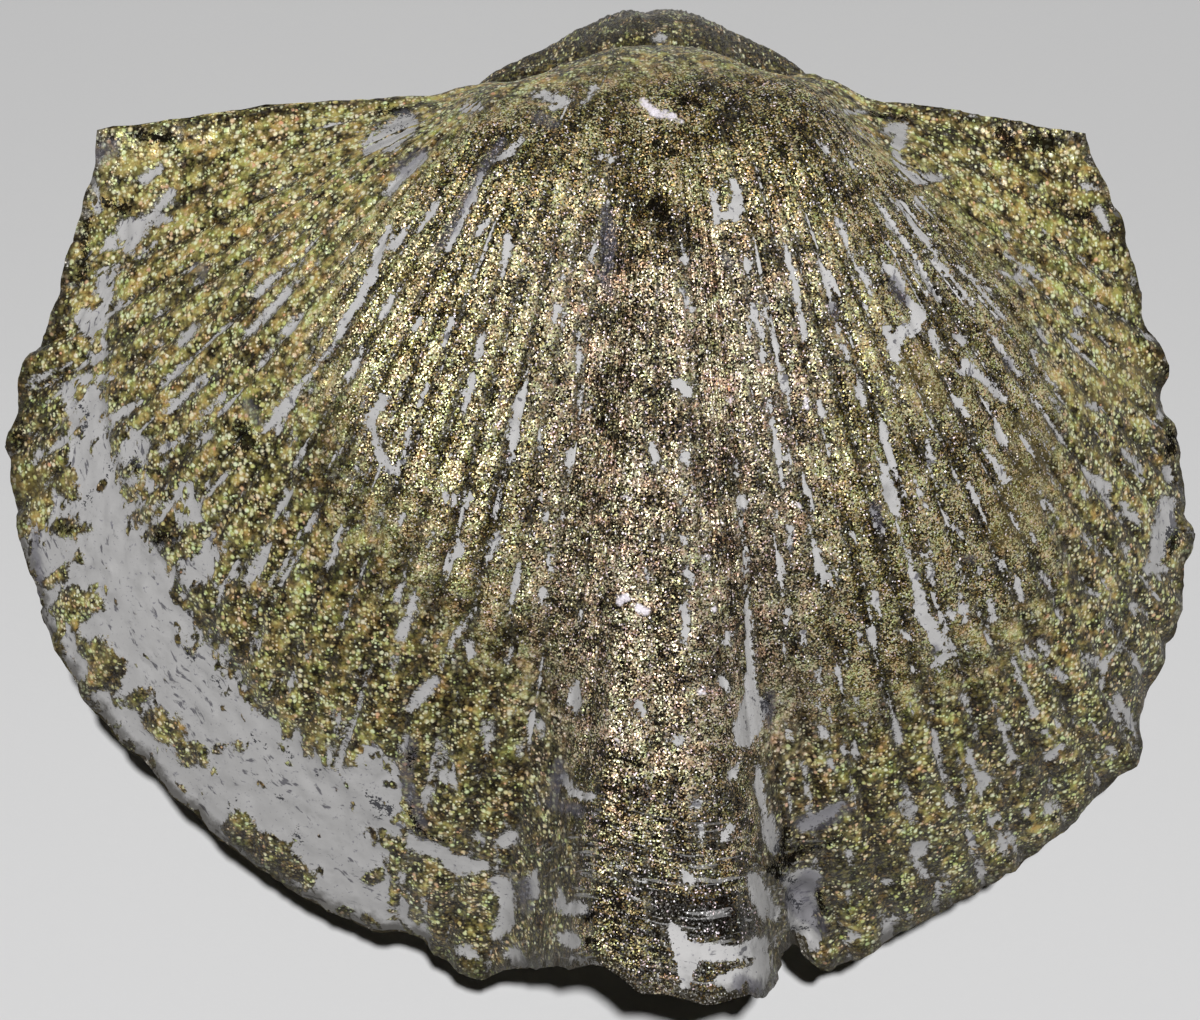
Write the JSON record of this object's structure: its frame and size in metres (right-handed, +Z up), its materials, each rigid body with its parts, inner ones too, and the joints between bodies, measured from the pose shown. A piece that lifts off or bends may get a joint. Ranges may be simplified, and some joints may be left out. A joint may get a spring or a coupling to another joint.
{
  "type": "brachiopod fossil",
  "caption": "Ribbed brachiopod fossil, both valves closed, with a raised middle fold, a straight hinge and an incurved beak, lying on its lower valve.",
  "frame": {"origin": "middle of the shell's footprint, on the surface that it lies on", "axes": "+X to the right along the hinge, +Y from the front margin to the beaks, +Z up through the upper valve's fold"},
  "size_m": [0.05, 0.0418, 0.0278],
  "materials": {
    "pyrite_crust": "brassy pyrite skin of fine crystals, olive and brown, with pale grey rock in the furrows",
    "dull_pyrite": "duller brassy pyrite skin, darker in the furrows and at the beak"
  },
  "bodies": {
    "root": {"brachial_valve": "pyrite_crust", "pedicle_valve": "dull_pyrite"}
  },
  "joints": []
}
